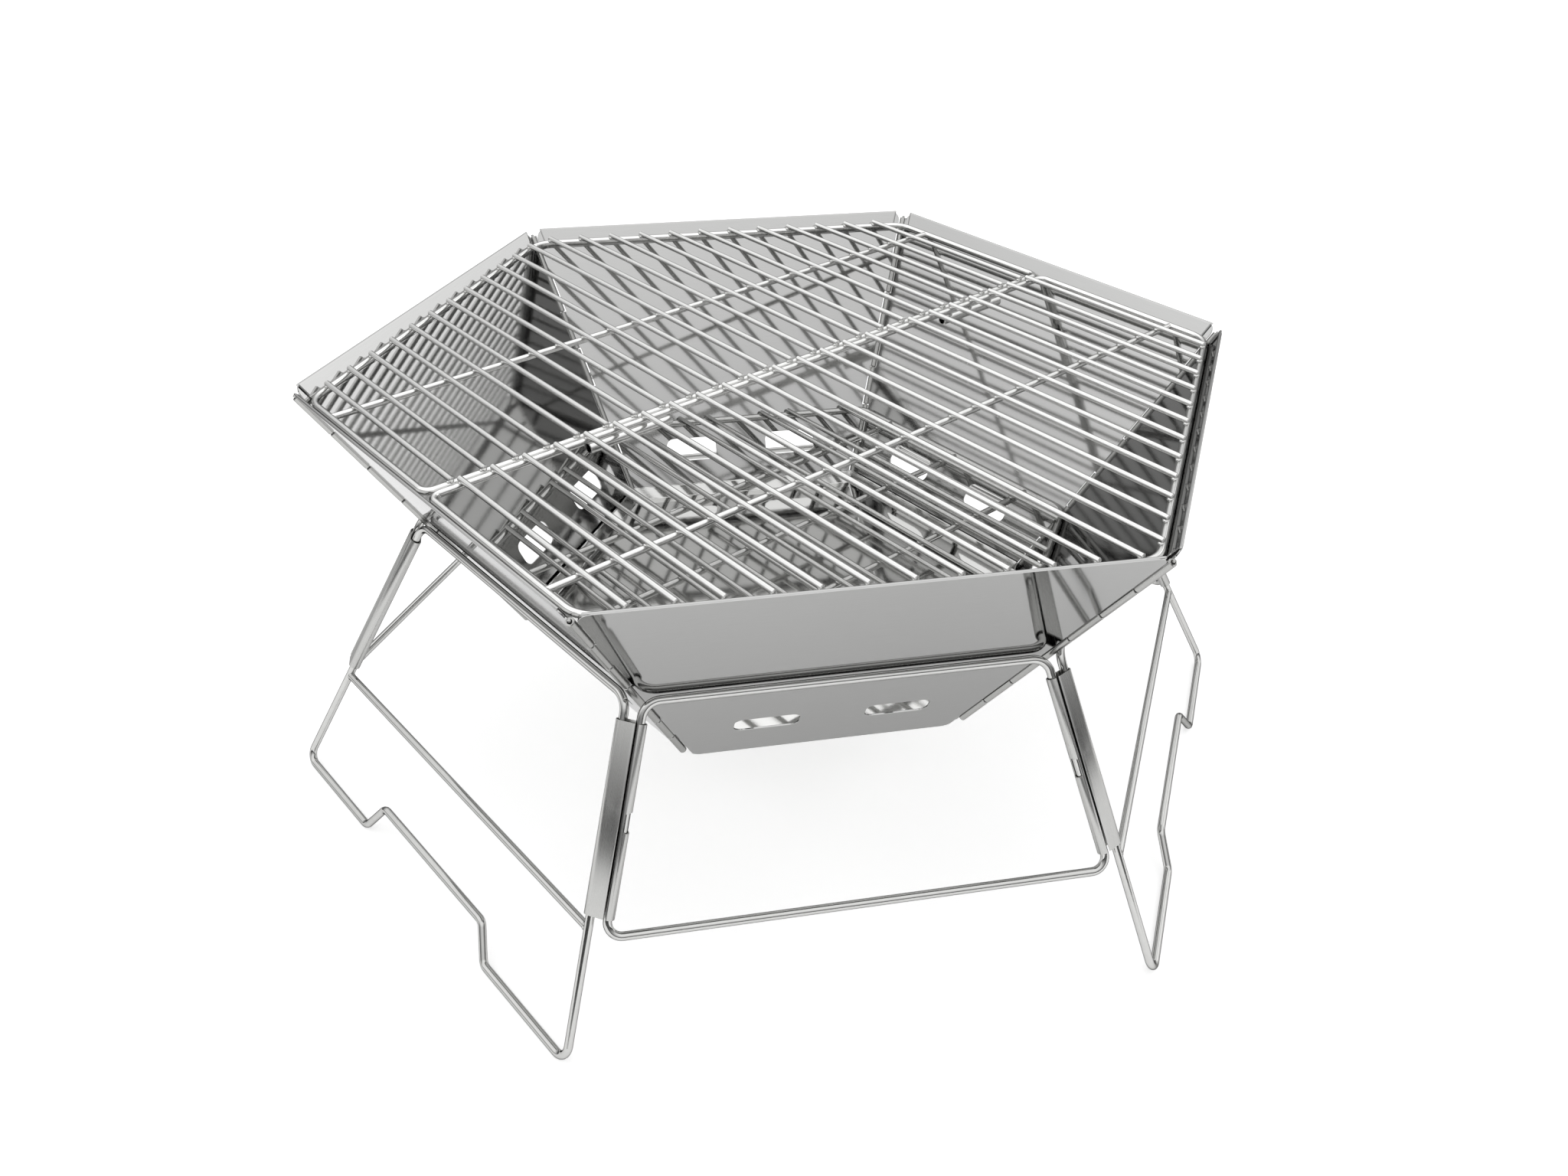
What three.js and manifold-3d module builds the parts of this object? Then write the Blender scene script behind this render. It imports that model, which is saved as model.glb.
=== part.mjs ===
// Folding camp grill: a six-panel sheet bowl in a six-frame folding wire stand,
// with two half cooking nets, a charcoal grate and an ash plate.
// Millimetres, +Z up. The origin is on the floor under the middle of the grill,
// the front panel faces -Y, and two corners of the hexagon lie on the X axis.
import * as THREE from 'three';
import { mergeVertices, toCreasedNormals } from 'three/addons/utils/BufferGeometryUtils.js';
import Module from 'manifold-3d';

const wasm = await Module();
wasm.setup();

// ---------------------------------------------------------------- driving sizes
const RIM_CORNER = 237.5; // centre to rim corner, along the hinge lines
const RIM_HEIGHT = 224;
const FOOT_CORNER = 136.5; // centre to the lower end of the hinge lines
const FOOT_HEIGHT = 74.6;
const SHEET = 0.8;

const PANEL_SKIRT = 5; // sheet below the lower end of the hinge lines
const PANEL_EDGE_GAP = 2.5; // sheet edge to hinge line
const PANEL_CORNER_RADIUS = 5;
const HEM_WIDTH = 12;
const HEM_STEP = 0.8; // how far the folded rim stands proud of the panel's inner face
const HEM_END_INSET = 6;
const VENT_LENGTH = 31;
const VENT_WIDTH = 14;
const VENT_CORNER_RADIUS = 4.5;
const VENT_OFFSET = 31.4;
const VENT_HEIGHT_ON_PANEL = 32;

const KNUCKLES = 7;
const KNUCKLE_FIRST = 5.2; // up the panel from the lower end of the hinge line
const KNUCKLE_LAST = 168.7;
const KNUCKLE_GAP = 0.6;
const KNUCKLE_RADIUS = 1.9;
const KNUCKLE_BORE_RADIUS = 1.1;
const PIN_RADIUS = 0.8;
const PIN_OVERHANG = 1; // pin ends past the first and last knuckle
const KNUCKLE_TAB_REACH = 1.4; // hinge line to the end of the sheet tab under a knuckle

const STAND_LOW_REACH = 234; // centre to a frame's plane, at the foot rods
const STAND_TOP_REACH = 163.4;
const STAND_TOP_HEIGHT = 146;
const ROD_RADIUS = 2;
const ROD_INSET = 4.6; // side rod to the corner line, in the frame's plane
const STAND_CORNER_BEND = 9;
const LOWER_BAR_BEND = 6.5;
const FOOT_BEND = 6;
const FOOT_STEP_BEND = 5;
const FOOT_LENGTH_START = 60; // where the ground rod starts to rise
const FOOT_LENGTH_END = 49; // where it is level again
const FOOT_RISE = 17;
const LOWER_BAR = 58; // up the frame from the foot rods
const CROSS_BAR = 60.5;

const SLEEVE_LOW = 69; // along the side rod, from the level of the foot rods
const SLEEVE_HIGH = 156;
const SLEEVE_CLEARANCE = 0.35;
const SLEEVE_SHEET = 0.6;
const SLEEVE_STRIP_SHARE = 0.84; // how much of the way to the short frame's rod the strip reaches
const SLEEVE_ROLL_END = 82; // degrees round the short frame's rod to the roll's free edge
const SLEEVE_NOTCH_LENGTH = 8;
const SLEEVE_NOTCH_DEPTH = 1.6;
const OPEN_SLEEVE_LIP = 20; // degrees from level to each lip of the open corner's sleeve

const NET_HEIGHT = 217.5; // middle of the net's edge wire
const NET_REACH = 198; // centre to edge wire, square to a side
const NET_EDGE_RADIUS = 1.75;
const NET_WIRE_RADIUS = 1.4;
const NET_WIRES = 24;
const NET_PITCH = 16;
const NET_SPLIT_HALF_GAP = 2.0;
const NET_WIRE_SHIFT = 1.7; // the two halves' wires pass beside each other at the split
const NET_CROSS_BAR = 92;
const NET_CORNER_BEND = 15;
const NET_SPLIT_BEND = 5;
const WELD_DEPTH = 0.35;
const WIRE_OVERHANG = 0.5; // wire ends past the middle of the edge wire
const CROSS_BAR_SHARE = 0.95; // cross bars are this much of the edge wire's thickness

const SOCKET_LENGTH = 46;
const SOCKET_OUTER_RADIUS = 2.6;
const SOCKET_INNER_RADIUS = 1.9;
const SOCKET_PLACES = [-96, 136];
const SOCKET_INSET = 1.2; // socket's middle line behind the split bar's, clear of the other half
const SOCKET_WELD_DEPTH = 0.7;

const GRATE_HEIGHT = 118; // middle of the charcoal grate's edge wire
const GRATE_REACH = 140.5;
const GRATE_EDGE_RADIUS = 2;
const GRATE_WIRE_RADIUS = 1.5;
const GRATE_WIRES = 18;
const GRATE_PITCH = 15;
const GRATE_CROSS_BARS = [-55, 0, 55];
const GRATE_CORNER_BEND = 12;

const PLATE_HEIGHT = 78;
const PLATE_LIP = 7;
const PLATE_SHEET = 1;
const PLATE_CLEARANCE = 2.7; // plate lip to the panels' middle surface, level

const BARREL_SIDES = 8;
const WIRE_SIDES = 6;
const ROD_SIDES = 8;
const BEND_STEPS = 3; // flats round each bend of a wire
const ARC_STEPS = 4; // flats round each rounded corner, slot end and sleeve roll
const SHARP_RADIUS = 0.01;
const CUT_OVERRUN = 1; // how far a bore is cut past each end
const CREASE_ANGLE = 50; // degrees between faces that stay a sharp edge

// ---------------------------------------------------------------- shared sums
const DEGREE = Math.PI / 180;
const COS_30 = Math.cos(30 * DEGREE);
const TAN_30 = Math.tan(30 * DEGREE);
const FRAME_RISE = STAND_TOP_HEIGHT - ROD_RADIUS;
const PANEL_RISE = RIM_HEIGHT - FOOT_HEIGHT;
const PANEL_LEAN = (RIM_CORNER - FOOT_CORNER) * COS_30;
const PANEL_LENGTH = Math.hypot(PANEL_RISE, PANEL_LEAN);
const CORNER_GROWTH = (RIM_CORNER - FOOT_CORNER) / 2 / PANEL_LENGTH;
const FRAME_LENGTH = Math.hypot(FRAME_RISE, STAND_LOW_REACH - STAND_TOP_REACH);
const FRAME_TAPER = (STAND_LOW_REACH - STAND_TOP_REACH) * TAN_30 / FRAME_LENGTH;

const BOWL_SIDES = [
  { name: 'front', middle: -90 },
  { name: 'front_right', middle: -30 },
  { name: 'back_right', middle: 30 },
  { name: 'back', middle: 90 },
  { name: 'back_left', middle: 150 },
  { name: 'front_left', middle: 210 },
];
const CORNERS = [
  { name: 'front_left', angle: 240, tallSide: 210, shortSide: 270 },
  { name: 'front_right', angle: 300, tallSide: 330, shortSide: 270 },
  { name: 'right', angle: 0, tallSide: -30, shortSide: 30 },
  { name: 'back_right', angle: 60, tallSide: 90, shortSide: 30 },
  { name: 'back_left', angle: 120, tallSide: 90, shortSide: 150 },
  { name: 'left', angle: 180, tallSide: 210, shortSide: 150 },
];
const OPEN_CORNER = 'right';

function outward(angle) {
  return new THREE.Vector3(Math.cos(angle * DEGREE), Math.sin(angle * DEGREE), 0);
}

function leaningPlane(angle, lowReach, lowHeight, highReach, highHeight) {
  const low = outward(angle).multiplyScalar(lowReach).setZ(lowHeight);
  const high = outward(angle).multiplyScalar(highReach).setZ(highHeight);
  const across = outward(angle + 90);
  const up = high.clone().sub(low).normalize();
  const out = across.clone().cross(up);
  return new THREE.Matrix4().makeBasis(across, up, out).setPosition(low);
}

function panelPlane(angle) {
  return leaningPlane(angle, FOOT_CORNER * COS_30, FOOT_HEIGHT, RIM_CORNER * COS_30, RIM_HEIGHT);
}

function framePlane(angle) {
  return leaningPlane(angle, STAND_LOW_REACH, ROD_RADIUS, STAND_TOP_REACH, STAND_TOP_HEIGHT);
}

// ---------------------------------------------------------------- solids
function solidOf(geometry) {
  const bare = geometry.clone();
  bare.deleteAttribute('normal');
  bare.deleteAttribute('uv');
  const merged = mergeVertices(bare, 1e-4);
  const mesh = new wasm.Mesh({
    numProp: 3,
    vertProperties: new Float32Array(merged.attributes.position.array),
    triVerts: new Uint32Array(merged.index.array),
  });
  return new wasm.Manifold(mesh);
}

function joined(solids) {
  return solids.reduce((sum, solid) => sum.add(solid));
}

function geometryOf(solid) {
  const mesh = solid.getMesh();
  const geometry = new THREE.BufferGeometry();
  const places = new Float32Array(mesh.numVert * 3);
  for (let i = 0; i < mesh.numVert; i += 1) {
    places.set(mesh.vertProperties.subarray(i * mesh.numProp, i * mesh.numProp + 3), i * 3);
  }
  geometry.setAttribute('position', new THREE.BufferAttribute(places, 3));
  geometry.setIndex(new THREE.BufferAttribute(new Uint32Array(mesh.triVerts), 1));
  return toCreasedNormals(geometry, CREASE_ANGLE * DEGREE);
}

function rodBetween(start, end, radius, sides) {
  const along = end.clone().sub(start);
  const geometry = new THREE.CylinderGeometry(radius, radius, along.length(), sides);
  const turn = new THREE.Quaternion().setFromUnitVectors(
    new THREE.Vector3(0, 1, 0),
    along.clone().normalize(),
  );
  geometry.applyQuaternion(turn);
  const middle = start.clone().add(end).multiplyScalar(0.5);
  geometry.translate(middle.x, middle.y, middle.z);
  return geometry;
}

// The points of a closed outline whose corners are rounded with arcs.
function roundedOutline(corners, radii, arcSteps) {
  const points = [];
  const count = corners.length;
  corners.forEach((corner, i) => {
    const before = corners[(i + count - 1) % count].clone().sub(corner).normalize();
    const after = corners[(i + 1) % count].clone().sub(corner).normalize();
    const halfAngle = Math.acos(before.dot(after)) / 2;
    const radius = radii[i];
    const toMiddle = before.clone().add(after).normalize();
    const middle = corner.clone().addScaledVector(toMiddle, radius / Math.sin(halfAngle));
    const start = corner.clone().addScaledVector(before, radius / Math.tan(halfAngle)).sub(middle);
    const end = corner.clone().addScaledVector(after, radius / Math.tan(halfAngle)).sub(middle);
    const swing = Math.atan2(start.cross(end), start.dot(end));
    for (let step = 0; step <= arcSteps; step += 1) {
      const spoke = start.clone().rotateAround(new THREE.Vector2(), swing * step / arcSteps);
      points.push(middle.clone().add(spoke));
    }
  });
  return points;
}

// A closed path through given points, which a tube follows point by point.
class ClosedPath extends THREE.Curve {
  constructor(points) {
    super();
    this.points = points;
  }

  getPointAt(share, target = new THREE.Vector3()) {
    const count = this.points.length;
    const place = this.points[Math.round(share * count) % count];
    return target.set(place.x, place.y, 0);
  }

  getTangentAt(share, target = new THREE.Vector3()) {
    const count = this.points.length;
    const at = Math.round(share * count);
    const before = this.points[(at + count - 1) % count];
    const here = this.points[at % count];
    const after = this.points[(at + 1) % count];
    const arriving = here.clone().sub(before).normalize();
    const leaving = after.clone().sub(here).normalize();
    const heading = arriving.add(leaving).normalize();
    return target.set(heading.x, heading.y, 0);
  }
}

function wireLoop(corners, radii, arcSteps, radius, sides) {
  const points = roundedOutline(corners, radii, arcSteps);
  return new THREE.TubeGeometry(new ClosedPath(points), points.length, radius, sides, true);
}

// ---------------------------------------------------------------- materials
const polishedSheet = new THREE.MeshStandardMaterial({ color: 0xc9cac9, metalness: 1, roughness: 0.14 });
const hingeSteel = new THREE.MeshStandardMaterial({ color: 0xb4b4b2, metalness: 1, roughness: 0.3 });
const rodSteel = new THREE.MeshStandardMaterial({ color: 0xcfcfcd, metalness: 1, roughness: 0.12 });
const satinSheet = new THREE.MeshStandardMaterial({ color: 0xb2b1af, metalness: 1, roughness: 0.34 });
const netWire = new THREE.MeshStandardMaterial({ color: 0xd6d5d3, metalness: 1, roughness: 0.3 });
const grateWire = new THREE.MeshStandardMaterial({ color: 0xb9b8b6, metalness: 1, roughness: 0.28 });

const grill = new THREE.Group();

function addPart(parent, name, solid, material, matrix = new THREE.Matrix4()) {
  const mesh = new THREE.Mesh(geometryOf(solid), material);
  mesh.name = name;
  matrix.decompose(mesh.position, mesh.quaternion, mesh.scale);
  parent.add(mesh);
}

// ---------------------------------------------------------------- bowl panels
function cornerLinePoint(side, upPanel, inset) {
  const along = new THREE.Vector2(CORNER_GROWTH, 1).normalize();
  const inward = new THREE.Vector2(-along.y, along.x);
  const place = new THREE.Vector2(FOOT_CORNER / 2 + CORNER_GROWTH * upPanel, upPanel);
  place.addScaledVector(inward, inset);
  return new THREE.Vector2(side * place.x, place.y);
}

function knuckleSpan(index) {
  const pitch = (KNUCKLE_LAST - KNUCKLE_FIRST) / KNUCKLES;
  const low = KNUCKLE_FIRST + pitch * index + KNUCKLE_GAP / 2;
  return [low, low + pitch - KNUCKLE_GAP];
}

// The right edge owns every other knuckle, from the lowest; the left edge owns the rest.
function ownedKnuckles(side) {
  return Array.from({ length: KNUCKLES }, (_, i) => i).filter((i) => (i % 2 === 0) === (side > 0));
}

function panelEdge(side) {
  const points = [];
  ownedKnuckles(side).forEach((index) => {
    const [low, high] = knuckleSpan(index);
    points.push(cornerLinePoint(side, low, PANEL_EDGE_GAP));
    points.push(cornerLinePoint(side, low, KNUCKLE_TAB_REACH));
    points.push(cornerLinePoint(side, high, KNUCKLE_TAB_REACH));
    points.push(cornerLinePoint(side, high, PANEL_EDGE_GAP));
  });
  return points;
}

function ventHole(middleX) {
  const low = VENT_HEIGHT_ON_PANEL - VENT_WIDTH / 2;
  const high = VENT_HEIGHT_ON_PANEL + VENT_WIDTH / 2;
  const corners = [
    new THREE.Vector2(middleX - VENT_LENGTH / 2, low),
    new THREE.Vector2(middleX + VENT_LENGTH / 2, low),
    new THREE.Vector2(middleX + VENT_LENGTH / 2, high),
    new THREE.Vector2(middleX - VENT_LENGTH / 2, high),
  ];
  return new THREE.Path(roundedOutline(corners, corners.map(() => VENT_CORNER_RADIUS), ARC_STEPS));
}

function roundedCorner(side, upPanel) {
  const corner = cornerLinePoint(side, upPanel, PANEL_EDGE_GAP);
  const along = cornerLinePoint(side, PANEL_LENGTH / 2, PANEL_EDGE_GAP);
  const across = new THREE.Vector2(0, corner.y);
  const radii = [SHARP_RADIUS, PANEL_CORNER_RADIUS, SHARP_RADIUS];
  const pointsEach = ARC_STEPS + 1;
  return roundedOutline([across, corner, along], radii, ARC_STEPS).slice(pointsEach, pointsEach * 2);
}

function bowlPanel() {
  const right = [
    ...roundedCorner(1, -PANEL_SKIRT),
    ...panelEdge(1),
    ...roundedCorner(1, PANEL_LENGTH).reverse(),
  ];
  const left = [
    ...roundedCorner(-1, -PANEL_SKIRT),
    ...panelEdge(-1),
    ...roundedCorner(-1, PANEL_LENGTH).reverse(),
  ];
  const outline = new THREE.Shape([...right, ...left.reverse()]);
  outline.holes.push(ventHole(VENT_OFFSET), ventHole(-VENT_OFFSET));
  const sheet = new THREE.ExtrudeGeometry(outline, {
    depth: SHEET,
    bevelEnabled: false,
    curveSegments: ARC_STEPS,
  });
  sheet.translate(0, 0, -SHEET / 2);
  let panel = solidOf(sheet);

  const hemLow = PANEL_LENGTH - HEM_WIDTH;
  const hemCorner = cornerLinePoint(1, PANEL_LENGTH, HEM_END_INSET);
  const hemFoot = cornerLinePoint(1, hemLow, HEM_END_INSET);
  const hemOutline = new THREE.Shape([
    new THREE.Vector2(-hemFoot.x, hemLow),
    new THREE.Vector2(hemFoot.x, hemLow),
    new THREE.Vector2(hemCorner.x, PANEL_LENGTH),
    new THREE.Vector2(-hemCorner.x, PANEL_LENGTH),
  ]);
  const hemDepth = SHEET / 2 + HEM_STEP;
  const hem = new THREE.ExtrudeGeometry(hemOutline, { depth: hemDepth, bevelEnabled: false });
  hem.translate(0, 0, -hemDepth);
  panel = panel.add(solidOf(hem));

  [1, -1].forEach((side) => {
    ownedKnuckles(side).forEach((index) => {
      const [low, high] = knuckleSpan(index);
      const start = cornerLinePoint(side, low, 0);
      const end = cornerLinePoint(side, high, 0);
      const barrel = rodBetween(
        new THREE.Vector3(start.x, start.y, 0),
        new THREE.Vector3(end.x, end.y, 0),
        KNUCKLE_RADIUS,
        BARREL_SIDES,
      );
      panel = panel.add(solidOf(barrel));
    });
    const boreStart = cornerLinePoint(side, 0, 0);
    const boreEnd = cornerLinePoint(side, PANEL_LENGTH, 0);
    const bore = rodBetween(
      new THREE.Vector3(boreStart.x, boreStart.y, 0),
      new THREE.Vector3(boreEnd.x, boreEnd.y, 0),
      KNUCKLE_BORE_RADIUS,
      BARREL_SIDES,
    );
    panel = panel.subtract(solidOf(bore));
  });
  return panel;
}

BOWL_SIDES.forEach(({ name, middle }) => {
  addPart(grill, `panel_${name}`, bowlPanel(), polishedSheet, panelPlane(middle));
});

function hingePin(angle) {
  const low = outward(angle).multiplyScalar(FOOT_CORNER).setZ(FOOT_HEIGHT);
  const high = outward(angle).multiplyScalar(RIM_CORNER).setZ(RIM_HEIGHT);
  const start = low.clone().lerp(high, (KNUCKLE_FIRST - PIN_OVERHANG) / PANEL_LENGTH);
  const end = low.clone().lerp(high, (KNUCKLE_LAST + PIN_OVERHANG) / PANEL_LENGTH);
  return solidOf(rodBetween(start, end, PIN_RADIUS, BARREL_SIDES));
}

CORNERS.forEach(({ name, angle }) => {
  addPart(grill, `hinge_pin_${name}`, hingePin(angle), hingeSteel);
});

// ---------------------------------------------------------------- stand frames
function frameSide(upFrame) {
  return STAND_LOW_REACH * TAN_30 - FRAME_TAPER * upFrame - ROD_INSET * Math.hypot(1, FRAME_TAPER);
}

function mirroredCorners(rightSide) {
  const leftSide = rightSide.map((place) => new THREE.Vector2(-place.x, place.y)).reverse();
  return [...rightSide, ...leftSide];
}

function tallFrame() {
  const rightSide = [
    new THREE.Vector2(FOOT_LENGTH_END, FOOT_RISE),
    new THREE.Vector2(FOOT_LENGTH_START, 0),
    new THREE.Vector2(frameSide(0), 0),
    new THREE.Vector2(frameSide(FRAME_LENGTH), FRAME_LENGTH),
  ];
  const radii = [FOOT_STEP_BEND, FOOT_STEP_BEND, FOOT_BEND, STAND_CORNER_BEND];
  const corners = mirroredCorners(rightSide);
  const loop = wireLoop(corners, [...radii, ...radii.slice().reverse()], BEND_STEPS, ROD_RADIUS, ROD_SIDES);
  const reach = frameSide(CROSS_BAR) - ROD_RADIUS / 2;
  const bar = rodBetween(
    new THREE.Vector3(-reach, CROSS_BAR, 0),
    new THREE.Vector3(reach, CROSS_BAR, 0),
    ROD_RADIUS * CROSS_BAR_SHARE,
    ROD_SIDES,
  );
  return joined([solidOf(loop), solidOf(bar)]);
}

function shortFrame() {
  const corners = mirroredCorners([
    new THREE.Vector2(frameSide(LOWER_BAR), LOWER_BAR),
    new THREE.Vector2(frameSide(FRAME_LENGTH), FRAME_LENGTH),
  ]);
  const radii = [LOWER_BAR_BEND, STAND_CORNER_BEND, STAND_CORNER_BEND, LOWER_BAR_BEND];
  return solidOf(wireLoop(corners, radii, BEND_STEPS, ROD_RADIUS, ROD_SIDES));
}

BOWL_SIDES.forEach(({ name, middle }, i) => {
  const tall = i % 2 === 1;
  const solid = tall ? tallFrame() : shortFrame();
  const kind = tall ? 'tall_frame' : 'short_frame';
  addPart(grill, `${kind}_${name}`, solid, rodSteel, framePlane(middle));
});

// ---------------------------------------------------------------- corner sleeves
// A side rod's middle line in the room: its low point and its direction.
function sideRod(sideAngle, cornerAngle) {
  const turn = Math.sin((cornerAngle - sideAngle) * DEGREE) > 0 ? 1 : -1;
  const plane = framePlane(sideAngle);
  const low = new THREE.Vector3(turn * frameSide(0), 0, 0).applyMatrix4(plane);
  const high = new THREE.Vector3(turn * frameSide(FRAME_LENGTH), FRAME_LENGTH, 0).applyMatrix4(plane);
  return { low, along: high.sub(low).normalize() };
}

// Seen along the rods: the tall frame's rod is at x = 0, the short frame's at x = spacing,
// and y points away from the grill. The sheet starts as a flat strip over the tall frame's
// rod, goes round behind both rods and comes back round the short frame's rod.
function sleeveOutline(spacing) {
  const inner = ROD_RADIUS + SLEEVE_CLEARANCE;
  const outer = inner + SLEEVE_SHEET;
  const stripEdge = spacing * SLEEVE_STRIP_SHARE;
  const rollEnd = SLEEVE_ROLL_END * DEGREE;
  const outline = new THREE.Shape();
  outline.moveTo(stripEdge, outer);
  outline.lineTo(0, outer);
  outline.absarc(0, 0, outer, Math.PI / 2, 3 * Math.PI / 2);
  outline.lineTo(spacing, -outer);
  outline.absarc(spacing, 0, outer, -Math.PI / 2, rollEnd);
  outline.absarc(spacing, 0, inner, rollEnd, -Math.PI / 2, true);
  outline.lineTo(0, -inner);
  outline.absarc(0, 0, inner, 3 * Math.PI / 2, Math.PI / 2, true);
  outline.lineTo(stripEdge, inner);
  outline.closePath();
  return outline;
}

// The open corner's sleeve is rolled round the tall frame's rod only.
function openSleeveOutline() {
  const inner = ROD_RADIUS + SLEEVE_CLEARANCE;
  const outer = inner + SLEEVE_SHEET;
  const lip = OPEN_SLEEVE_LIP * DEGREE;
  const outline = new THREE.Shape();
  outline.absarc(0, 0, outer, lip, 2 * Math.PI - lip);
  outline.absarc(0, 0, inner, 2 * Math.PI - lip, lip, true);
  outline.closePath();
  return outline;
}

// Cut half way along the sleeve, out of the side of the roll.
function sleeveNotch(spacing, length) {
  const outer = ROD_RADIUS + SLEEVE_CLEARANCE + SLEEVE_SHEET;
  const notch = new THREE.BoxGeometry(SLEEVE_NOTCH_DEPTH * 2, outer * 2, SLEEVE_NOTCH_LENGTH);
  notch.translate(spacing + outer, 0, length / 2);
  return solidOf(notch);
}

function cornerSleeve(corner) {
  const { low, along } = sideRod(corner.tallSide, corner.angle);
  const gap = sideRod(corner.shortSide, corner.angle).low.sub(low);
  const across = gap.addScaledVector(along, -gap.dot(along));
  const spacing = across.length();
  across.normalize();
  const out = along.clone().cross(across);
  const startsLow = out.dot(outward(corner.angle)) > 0;
  if (!startsLow) out.negate();
  const start = low.addScaledVector(along, startsLow ? SLEEVE_LOW : SLEEVE_HIGH);
  const axis = across.clone().cross(out);
  const matrix = new THREE.Matrix4().makeBasis(across, out, axis).setPosition(start);

  const open = corner.name === OPEN_CORNER;
  const length = SLEEVE_HIGH - SLEEVE_LOW;
  const roll = new THREE.ExtrudeGeometry(open ? openSleeveOutline() : sleeveOutline(spacing), {
    depth: length,
    bevelEnabled: false,
    curveSegments: ARC_STEPS,
  });
  const solid = open ? solidOf(roll) : solidOf(roll).subtract(sleeveNotch(spacing, length));
  return { solid, matrix };
}

CORNERS.forEach((corner) => {
  const { solid, matrix } = cornerSleeve(corner);
  addPart(grill, `sleeve_${corner.name}`, solid, satinSheet, matrix);
});

// ---------------------------------------------------------------- cooking nets
// Nets and grate are drawn with X along the split, which runs 30 degrees from the room's X.
const nets = new THREE.Group();
nets.rotation.z = 30 * DEGREE;
grill.add(nets);

function hexagonEdge(reach, x) {
  return reach / COS_30 - Math.abs(x) * TAN_30;
}

// y is positive; the near half is the same piece turned half round, with two sockets.
function halfNet(withSockets) {
  const corners = [
    new THREE.Vector2(-NET_REACH, NET_SPLIT_HALF_GAP),
    new THREE.Vector2(NET_REACH, NET_SPLIT_HALF_GAP),
    new THREE.Vector2(NET_REACH, hexagonEdge(NET_REACH, NET_REACH)),
    new THREE.Vector2(0, hexagonEdge(NET_REACH, 0)),
    new THREE.Vector2(-NET_REACH, hexagonEdge(NET_REACH, NET_REACH)),
  ];
  const radii = [NET_SPLIT_BEND, NET_SPLIT_BEND, NET_CORNER_BEND, NET_CORNER_BEND, NET_CORNER_BEND];
  const pieces = [solidOf(wireLoop(corners, radii, BEND_STEPS, NET_EDGE_RADIUS, WIRE_SIDES))];
  const wireHeight = NET_EDGE_RADIUS + NET_WIRE_RADIUS - WELD_DEPTH;
  for (let i = 0; i < NET_WIRES; i += 1) {
    const x = (i - (NET_WIRES - 1) / 2) * NET_PITCH - NET_WIRE_SHIFT;
    const start = new THREE.Vector3(x, NET_SPLIT_HALF_GAP - NET_EDGE_RADIUS, wireHeight);
    const end = new THREE.Vector3(x, hexagonEdge(NET_REACH, x) + WIRE_OVERHANG, wireHeight);
    pieces.push(solidOf(rodBetween(start, end, NET_WIRE_RADIUS, WIRE_SIDES)));
  }
  const barStart = new THREE.Vector3(-NET_REACH, NET_CROSS_BAR, 0);
  const barEnd = new THREE.Vector3(NET_REACH, NET_CROSS_BAR, 0);
  pieces.push(solidOf(rodBetween(barStart, barEnd, NET_EDGE_RADIUS * CROSS_BAR_SHARE, WIRE_SIDES)));
  if (withSockets) SOCKET_PLACES.forEach((place) => pieces.push(handleSocket(-place)));
  return joined(pieces);
}

// An open tube welded under the edge wire at the split, for a lifting handle.
function handleSocket(middleX) {
  const distance = NET_EDGE_RADIUS + SOCKET_OUTER_RADIUS - SOCKET_WELD_DEPTH;
  const height = -Math.sqrt(distance ** 2 - SOCKET_INSET ** 2);
  const middleY = NET_SPLIT_HALF_GAP + SOCKET_INSET;
  const rod = (radius, reach) => solidOf(rodBetween(
    new THREE.Vector3(middleX - reach, middleY, height),
    new THREE.Vector3(middleX + reach, middleY, height),
    radius,
    BARREL_SIDES,
  ));
  const reach = SOCKET_LENGTH / 2;
  return rod(SOCKET_OUTER_RADIUS, reach).subtract(rod(SOCKET_INNER_RADIUS, reach + CUT_OVERRUN));
}

const netLevel = new THREE.Matrix4().makeTranslation(0, 0, NET_HEIGHT);
const turnedNetLevel = netLevel.clone().multiply(new THREE.Matrix4().makeRotationZ(Math.PI));
addPart(nets, 'cooking_net_back', halfNet(false), netWire, netLevel);
addPart(nets, 'cooking_net_front', halfNet(true), netWire, turnedNetLevel);

// ---------------------------------------------------------------- charcoal grate
function charcoalGrate() {
  const corner = hexagonEdge(GRATE_REACH, 0);
  const corners = Array.from({ length: 6 }, (_, i) => {
    const angle = (30 + i * 60) * DEGREE;
    return new THREE.Vector2(corner * Math.cos(angle), corner * Math.sin(angle));
  });
  const radii = corners.map(() => GRATE_CORNER_BEND);
  const pieces = [solidOf(wireLoop(corners, radii, BEND_STEPS, GRATE_EDGE_RADIUS, WIRE_SIDES))];
  const wireHeight = GRATE_EDGE_RADIUS + GRATE_WIRE_RADIUS - WELD_DEPTH;
  for (let i = 0; i < GRATE_WIRES; i += 1) {
    const x = (i - (GRATE_WIRES - 1) / 2) * GRATE_PITCH;
    const reach = hexagonEdge(GRATE_REACH, x) + WIRE_OVERHANG;
    const start = new THREE.Vector3(x, -reach, wireHeight);
    const end = new THREE.Vector3(x, reach, wireHeight);
    pieces.push(solidOf(rodBetween(start, end, GRATE_WIRE_RADIUS, WIRE_SIDES)));
  }
  GRATE_CROSS_BARS.forEach((y) => {
    const start = new THREE.Vector3(-GRATE_REACH, y, 0);
    const end = new THREE.Vector3(GRATE_REACH, y, 0);
    pieces.push(solidOf(rodBetween(start, end, GRATE_EDGE_RADIUS * CROSS_BAR_SHARE, WIRE_SIDES)));
  });
  return joined(pieces);
}

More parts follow.
